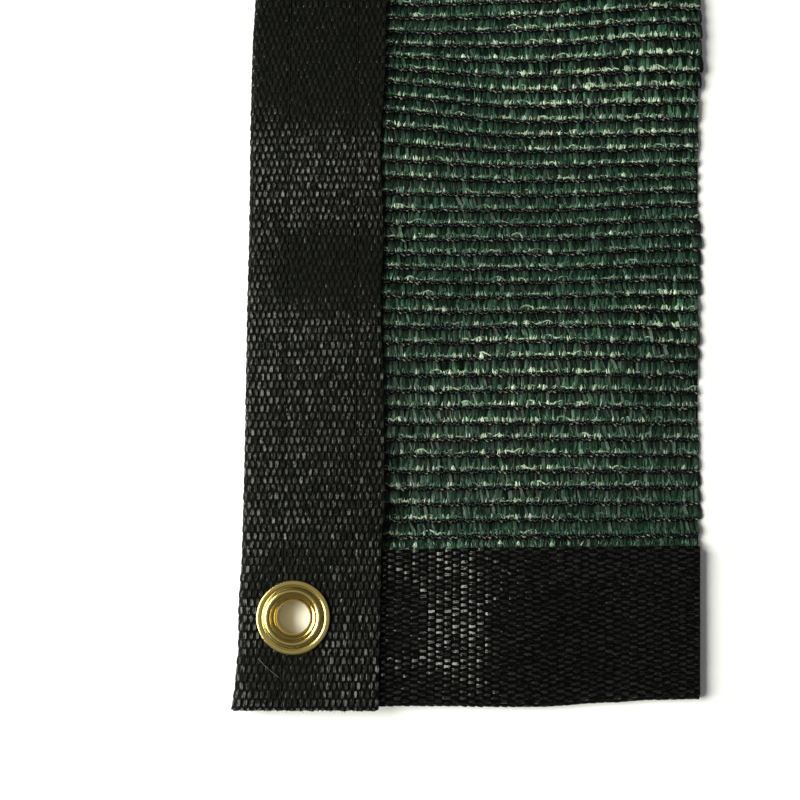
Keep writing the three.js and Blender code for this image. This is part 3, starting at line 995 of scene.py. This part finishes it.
def slack_and_light(x, y):
    """How loosely the knit lies, about 0.1 to 1.2; it also scales the tapes' tones, which paints lit and
    dull zones.
    """
    total = SLACK_AND_LIGHT_USUAL
    for s in SLACK_AND_LIGHT:
        total = total + s["more"] * fall((x - s["x"]) / s["reach_x"]) * fall((y - s["y"]) / s["reach_y"])
    return total


def stitch_drift(row, x):
    """How far the stitches of a row stand left of an even spacing of 2 STITCH, in turns."""
    return 0.08 * np.sin(0.9 * row) + 0.10 * np.sin(x / 23 + 0.4 * row)


def column(shape, name):
    """One column of a table of stations, as a row of numbers."""
    return np.array([station[name] for station in shape])[None]


def tape_feet(first_row, last_row, spacing):
    """The band that each tape lies in, that band's right-hand cut, and where the tape's foot stands: an
    even spacing shifted by the stitches' drift and a little at random."""
    per_row = int((right_cut(TOP_CUT) - KNIT_LEFT_SHOWN) / spacing)
    rows = np.arange(first_row, last_row)
    row = np.repeat(rows, per_row)[:, None].astype(float)
    cut = right_cut(FIRST_ROW + ROW_PITCH * row)
    foot = KNIT_LEFT_SHOWN + (np.tile(np.arange(per_row), len(rows))[:, None] + 0.5) * spacing
    kept = (foot < cut)[:, 0]
    row, cut, foot = row[kept], cut[kept], foot[kept]
    scatter = rng.normal(0, TAPES_VARY["foot"], (len(row), 1)) * spacing
    return row, cut, foot - 2 * STITCH * stitch_drift(row, foot) + scatter


def tape_paths(row, cut, foot, shape, lean, first):
    """The tapes' middle lines. Each goes up from the lower chain by its shape's parts and heights, and
    leans sideways by a share of its own that grows with the part."""
    part = column(shape, "part")
    count, steps = len(row), part.shape[1]
    across = rng.normal(0, TAPES_VARY["lean"], (count, 1)) * lean
    x = foot + across * (part - 0.3) * 2 + rng.normal(0, TAPES_VARY["waver"], (count, steps))
    x = np.clip(x, KNIT_LEFT_SHOWN - 1, cut - 0.2 * rng.random((count, 1)))
    low_at = part + rng.normal(0, TAPES_VARY["end"], (count, 1)) * (1 - part) + first * (row == 0)
    y = np.minimum(row_height(row + low_at, x), TOP_CUT - YARN_SHORT_OF_CUT)
    level = column(shape, "high") + rng.normal(0, TAPES_VARY["level"], (count, 1))
    level = level + rng.normal(0, TAPES_VARY["ripple"], (count, steps))
    return np.stack([x, y, knit_underside(x, y) + level * height_kept(x, y)], axis=-1)


def tape_legs(
    first_row, last_row, shape, spacing, narrow, broad, widens, lean, twist, dim, pale, shade, first
):
    """One set of tapes in some bands, as tubes with their tones. Each is turned about its length by an
    angle of its own that changes evenly along it."""
    row, cut, foot = tape_feet(first_row, last_row, spacing)
    centres = tape_paths(row, cut, foot, shape, lean, first)
    part = column(shape, "part")
    count, steps = len(row), part.shape[1]
    side, over = frames_along(centres)
    turn = rng.normal(0, twist, (count, 1)) + rng.normal(0, twist / 2, (count, 1)) * (part - 0.4)
    turn = turn[..., None]
    turned_side = side * np.cos(turn) + over * np.sin(turn)
    turned_over = over * np.cos(turn) - side * np.sin(turn)
    # How slack the knit lies here: it widens the folds, and as painted light it scales the tapes' tones.
    loose = slack_and_light(foot, FIRST_ROW + ROW_PITCH * row)
    spread = 0.6 + 0.5 * loose if widens else 1
    half_wide = column(shape, "wide") * rng.uniform(narrow / 2, broad / 2, (count, 1)) * spread
    half_thick = column(shape, "thick") / 2 * rng.uniform(0.8, 1.2, (count, 1))
    points, faces = tubes(centres, turned_side, turned_over, half_wide, half_thick)
    tone = (dim + (pale - dim) * rng.random((count, 1)) ** 1.5) * (0.25 + loose) - shade * part ** 2
    return points, faces, np.broadcast_to(tone[..., None], (count, steps, 4)).ravel()


def join_tubes(parts):
    """Several (points, faces, tone) lists as one."""
    points, faces, tones, start = [], [], [], 0
    for p, f, t in parts:
        points.append(p)
        faces.append(f + start)
        tones.append(t)
        start += len(p)
    return np.concatenate(points), np.concatenate(faces), np.concatenate(tones)


def knit_tapes(material):
    """All the sets of tapes, one piece for each run of bands."""
    pieces = []
    for number, (first, last) in enumerate(zip(TAPE_BANDS, TAPE_BANDS[1:])):
        sets = [tape_legs(first, last, **one) for one in TAPE_SETS]
        points, faces, tone = join_tubes(sets)
        name = f"knit_tapes_{number + 1}"
        pieces.append(make_piece(name, points, faces, material, {"tone": tone}, smooth=False))
    return pieces


def strands_along(rows, strands, steps_per_stitch):
    """For so many strands along each chain row: their row, their number and their places across."""
    row = np.repeat(rows, strands)[:, None].astype(float)
    strand = np.tile(np.arange(strands), len(rows))[:, None]
    cut = right_cut(FIRST_ROW + ROW_PITCH * row)
    steps = int((right_cut(0) - KNIT_LEFT_SHOWN) / STITCH * steps_per_stitch)
    x = KNIT_LEFT_SHOWN + (cut - KNIT_LEFT_SHOWN) * np.linspace(0, 1, steps)[None]
    return row, strand, x


def chain_tubes(first, last):
    """The pillar-stitch rows: three strands braided over two stitches, y = A sin(p), z = B sin(2p), and
    a fourth that loops up into the band above at every second stitch. All swell and shrink slowly."""
    row, strand, x = strands_along(np.arange(first, last), CHAIN_STRANDS, CHAIN_STEPS_PER_STITCH)
    braided = strand < BRAIDED_STRANDS
    turn = 2 * math.pi * (x / (2 * STITCH) + strand / BRAIDED_STRANDS + stitch_drift(row, x) + 0.25)
    fat = 1 + 0.2 * np.sin(x / 3.1 + row * 1.3 + strand)
    apart = turn - 2 * math.pi * strand / BRAIDED_STRANDS
    braid = CHAIN_SWING * fat * np.sin(turn) + BRAID_SPREAD * np.sin(apart)
    loop = LOOP_FOOT + LOOP_RISE * fat * (0.5 + 0.5 * np.sin(turn)) ** 1.5
    y = row_height(row, x) + np.where(braided, braid, loop) + 0.07 * np.sin(x / 1.9 + row)
    y = np.minimum(y, TOP_CUT - YARN_SHORT_OF_CUT)
    z = knit_underside(x, y) + (CHAIN_LEVEL + CHAIN_DIP * np.sin(2 * turn)) * height_kept(x, y)
    centres = np.stack([x, y, z], axis=-1)
    radius = CHAIN_RADIUS * (1 + 0.12 * np.sin(5 * x + strand * 2))
    points, faces = yarns(centres, radius, radius * 0.9)
    # The tone for the painted highlight: high on the upper corner of a braided strand where it lies
    # uppermost, in patches.
    upper = np.where(braided, np.sin(2 * turn) * (1 - 0.4 * np.sin(turn)), -1)
    patchy = 0.5 + 0.35 * np.sin(x / 1.7 + row * 2.3) + rng.normal(0, 0.42, x.shape)
    return points, faces, (upper * patchy)[..., None] * CREST_OF_RING


def knit_chains(material):
    """The black rows in two pieces, a lower and an upper half."""
    pieces = []
    halves = [0, ROW_COUNT // 2, ROW_COUNT]
    for number, (first, last) in enumerate(zip(halves, halves[1:])):
        points, faces, tone = chain_tubes(first, last)
        name = f"knit_chains_{number + 1}"
        pieces.append(make_piece(name, points, faces, material, {"tone": tone}))
    return pieces


def knit_scallops(material):
    """Tape folded edge-on along the top of each chain: a scalloped line y = A |sin p| that stands up
    between stitches and dips under the laid tapes here and there."""
    row, strand, x = strands_along(np.arange(ROW_COUNT - 1), SCALLOP_STRANDS, SCALLOP_STEPS_PER_STITCH)
    turn = math.pi * (x / STITCH / (1 + strand) + stitch_drift(row, x) * 2 + 0.25 * strand)
    stand = 0.35 + 0.65 * np.sin(x / 2.9 + row * 2.7 + strand * 1.9) ** 2
    arch = (SCALLOP_RISE + 0.5 * strand) * stand * np.abs(np.sin(turn)) ** 0.8
    y = row_height(row + SCALLOP_FOOT, x) + arch
    y = y + rng.normal(0, 0.07, x.shape)
    waves = 0.26 * np.sin(x / 3.7 + row * 1.3 + strand * 2.5)
    level = SCALLOP_LEVEL + waves + rng.normal(0, 0.05, x.shape)
    z = knit_underside(x, y) + level * height_kept(x, y)
    centres = np.stack([x, y, z], axis=-1)
    half_wide = 0.16 + 0.09 * np.sin(x / 1.3 + row * 3.1)
    points, faces = yarns(centres, half_wide, half_wide * 0.7)
    # Pale edges, partly the folded tape's whitening and partly painted highlight, scaled by the slack
    # patches as painted light.
    tone = (0.85 + 0.25 * np.sin(x / 2.1 + row * 1.7 + strand)) * (0.25 + slack_and_light(x, y))
    marks = {"tone": np.broadcast_to(tone[..., None], (*x.shape, 4))}
    return make_piece("knit_scallops", points, faces, material, marks, smooth=False)


def seam_stitches(material):
    """Black thread stitches sunk in the bindings' sewn lines: each is a short arch, with its height
    falling as the cube of the distance from its middle."""
    arch = np.linspace(-0.5, 0.5, THREAD_STEPS)[None]

    def line(start, end):
        count = int((end - start) / SEAM_STITCH)
        middle = start + (np.arange(count)[:, None] + 0.5) * SEAM_STITCH
        return middle + arch * SEAM_STITCH * SEAM_STITCH_SHOWN

    def arched(top):
        return top + 0.10 - 0.30 * (2 * np.abs(arch)) ** 3

    paths = []
    for seam in SIDE_SEAMS:
        y = line(SIDE_LOWER_CUT + 1.5, TOP_CUT)
        x = np.full_like(y, seam) + 0.05 * np.sin(y)
        clear = np.hypot(x, y).min(axis=1) > RIM_RADIUS + SEAM_CLEAR_OF_RIM
        paths.append(np.stack([x, y, arched(side_front(x, y) + WEBBING_THICK)], axis=-1)[clear])
    for seam in BOTTOM_SEAMS:
        x = line(side_inner(seam) + 1.0, right_cut(seam))
        y = np.full_like(x, seam) + 0.05 * np.sin(x)
        paths.append(np.stack([x, y, arched(bottom_front(x, y) + WEBBING_THICK)], axis=-1))
    points, faces = yarns(np.concatenate(paths), THREAD_RADIUS, THREAD_RADIUS)
    return make_piece("seam_stitches", points, faces, material)


def loose_fibre(material):
    """One pale hair that lies beside the eyelet, in an arch of half a sine wave over the floats."""
    t = np.linspace(0, 1, HAIR_STEPS)[None]
    bow = np.sin(math.pi * t)
    x = HAIR_FROM[0] + HAIR_RUN[0] * t - 0.3 * bow
    y = HAIR_FROM[1] + HAIR_RUN[1] * t
    z = side_front(x, y) + WEBBING_THICK + 0.25 + 0.35 * bow
    points, faces = yarns(np.stack([x, y, z], axis=-1), HAIR_RADIUS, HAIR_RADIUS)
    return make_piece("loose_fibre", points, faces, material)


def frayed_end(material):
    """Short black fibres that stand straight out of the side binding's lower cut end, and droop."""
    count = FRAYED_FIBRES
    t = np.linspace(0, 1, FRAYED_STEPS)[None]
    start = rng.uniform(-14.5, 22.3, (count, 1))
    length = rng.uniform(0.3, 1.1, (count, 1)) * np.where(rng.random((count, 1)) > 0.8, 1.5, 0.8)
    lean = rng.normal(0, 0.5, (count, 1))
    x = start + lean * t * length
    y = SIDE_LOWER_CUT + 0.6 - (0.5 + length) * t
    level = WEBBING_THICK * rng.uniform(0.3, 0.85, (count, 1))
    z = side_front(x, y) + level - 0.2 * t * t
    radius = FRAYED_RADIUS * (1 - 0.5 * t)
    points, faces = yarns(np.stack([x, y, z], axis=-1), radius, radius)
    return make_piece("frayed_end", points, faces, material)


def brass_grommet(material):
    """The flange, crown, funnel, barrel and rolled lip as one turned ring. The crown is a half ellipse
    on the flange, and the funnel falls from it into the hole as a quarter ellipse."""
    rim_top = FLANGE_UNDERSIDE + RIM_THICK
    turn = np.linspace(0, math.pi, 19)
    crown_radius = CROWN_RADIUS + CROWN_HALF_WIDTH * np.cos(turn)
    crown = np.stack([crown_radius, rim_top + CROWN_RISE * np.sin(turn)], axis=-1)
    funnel_top = CROWN_RADIUS - CROWN_HALF_WIDTH
    turn = np.linspace(0, math.pi / 2, 13)[1:]
    funnel_radius = funnel_top - (funnel_top - HOLE_RADIUS) * np.sin(turn)
    funnel = np.stack([funnel_radius, rim_top - FUNNEL_DEPTH * (1 - np.cos(turn))], axis=-1)
    rim = [
        (BARREL_RADIUS, FLANGE_UNDERSIDE),
        (RIM_RADIUS - 0.12, FLANGE_UNDERSIDE),
        (RIM_RADIUS - 0.02, FLANGE_UNDERSIDE + 0.06),
        (RIM_RADIUS, FLANGE_UNDERSIDE + 0.17),
        (RIM_RADIUS - 0.02, rim_top - 0.20),
        (RIM_RADIUS - 0.08, rim_top - 0.10),
        (RIM_RADIUS - 0.20, rim_top - 0.05),
        (RIM_RADIUS - 0.50, rim_top - 0.02),
        (RIM_FLAT_RADIUS + 0.15, rim_top),
        (RIM_FLAT_RADIUS, rim_top - 0.03),
        (GROOVE_RADIUS + 0.12, rim_top - 0.13),
        (GROOVE_RADIUS, rim_top - 0.15),
        (GROOVE_RADIUS - 0.12, rim_top - 0.12),
    ]
    lip = [
        (HOLE_RADIUS, 1.2),
        (HOLE_RADIUS + 0.03, LIP_THICK),
        (HOLE_RADIUS + 0.3, 0.12),
        (BARREL_RADIUS, 0),
        (LIP_RADIUS - 0.25, 0),
        (LIP_RADIUS - 0.05, 0.1),
        (LIP_RADIUS, 0.25),
        (LIP_RADIUS - 0.05, 0.4),
        (LIP_RADIUS - 0.25, LIP_THICK),
        (BARREL_RADIUS, LIP_THICK),
    ]
    points, faces = turned(np.concatenate([rim, crown, funnel, lip]), ROUND_STEPS)
    return make_piece("brass_grommet", points, faces, material)


def brass_washer(material):
    """The ring on the back, with its edges rounded."""
    under = LIP_THICK + GAP
    top = under + WASHER_THICK
    profile = [
        (WASHER_HOLE_RADIUS, under + 0.05),
        (WASHER_HOLE_RADIUS + 0.1, under),
        (WASHER_RADIUS - 0.4, under),
        (WASHER_RADIUS - 0.08, under + 0.08),
        (WASHER_RADIUS, under + 0.25),
        (WASHER_RADIUS - 0.03, top - 0.12),
        (WASHER_RADIUS - 0.2, top),
        (WASHER_HOLE_RADIUS, top),
    ]
    points, faces = turned(profile, ROUND_STEPS)
    return make_piece("brass_washer", points, faces, material)


def build_screen():
    """Builds every piece and hides the solids that they stand in for."""
    brass = bright_brass()
    # body paints the side binding's black lighter and the bottom one's darker, as painted light and shade
    # for how the light falls on each.
    side = side_webbing(black_webbing("webbing_up", along_y=True, gloss=0.5, body=1.3))
    bottom = bottom_webbing(black_webbing("webbing_across", along_y=False, gloss=1.0, body=0.4))
    ground = knit_ground(knit_backing())
    tape = green_tape()
    tapes = [*knit_tapes(tape), knit_scallops(tape)]
    chains = knit_chains(black_yarn())
    stitches = seam_stitches(black_thread())
    grommet = brass_grommet(brass)
    washer = brass_washer(brass)
    fibre = loose_fibre(pale_fibre())
    frayed = frayed_end(black_yarn())
    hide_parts("side_binding")
    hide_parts("bottom_binding")
    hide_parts("knit_panel")
    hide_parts("grommet")
    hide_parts("grommet_washer")


def set_camera():
    """The camera looks at AIM from CAMERA_DISTANCE off, and shows PIXELS_PER_MM there."""
    camera = bpy.data.cameras.new("camera")
    camera.sensor_width = SENSOR
    camera.lens = SENSOR * PIXELS_PER_MM * CAMERA_DISTANCE / PICTURE_PIXELS
    camera.clip_start = 0.01
    eye = bpy.data.objects.new("camera", camera)
    bpy.context.scene.collection.objects.link(eye)
    back = Vector((0, -math.sin(CAMERA_TILT), math.cos(CAMERA_TILT)))
    aim = Vector([a * MM + e for a, e in zip(AIM, EYELET)])
    eye.location = aim + back * CAMERA_DISTANCE * MM
    eye.rotation_euler = (CAMERA_TILT, 0, 0)
    bpy.context.scene.camera = eye


def soft_light(name, place, size, power, colour):
    """A rectangular softbox at a place in metres from the middle of the screen, facing the middle."""
    lamp = bpy.data.lights.new(name, "AREA")
    lamp.shape = "RECTANGLE"
    lamp.size, lamp.size_y = size
    lamp.energy = power
    lamp.color = colour
    holder = bpy.data.objects.new(name, lamp)
    bpy.context.scene.collection.objects.link(holder)
    holder.location = Vector(place)
    holder.rotation_euler = (-Vector(place)).to_track_quat("-Z", "Y").to_euler()


def set_studio():
    """A pale floor, a pale surround and the two softboxes."""
    bpy.ops.mesh.primitive_plane_add(size=FLOOR_SIZE, location=(0, 0, 0))
    floor = bpy.context.object
    floor.name = "floor"
    paper = Shader("paper")
    grain = paper.noise(paper.place((1, 1, 1)), 400.0, 2.0)
    white = paper.mix(grain, rgb(0.93, 0.93, 0.93), rgb(0.96, 0.96, 0.96))
    floor.data.materials.append(paper.finish(Base_Color=white, Roughness=0.9))
    world = bpy.data.worlds.new("studio")
    bpy.context.scene.world = world
    world.use_nodes = True
    background = world.node_tree.nodes["Background"]
    background.inputs["Color"].default_value = rgb(1, 1, 1)
    background.inputs["Strength"].default_value = SURROUND
    soft_light("left_window", **LEFT_WINDOW)
    soft_light("overhead", **OVERHEAD)
    bpy.context.scene.view_settings.view_transform = "Standard"


set_camera()
build_screen()
set_studio()
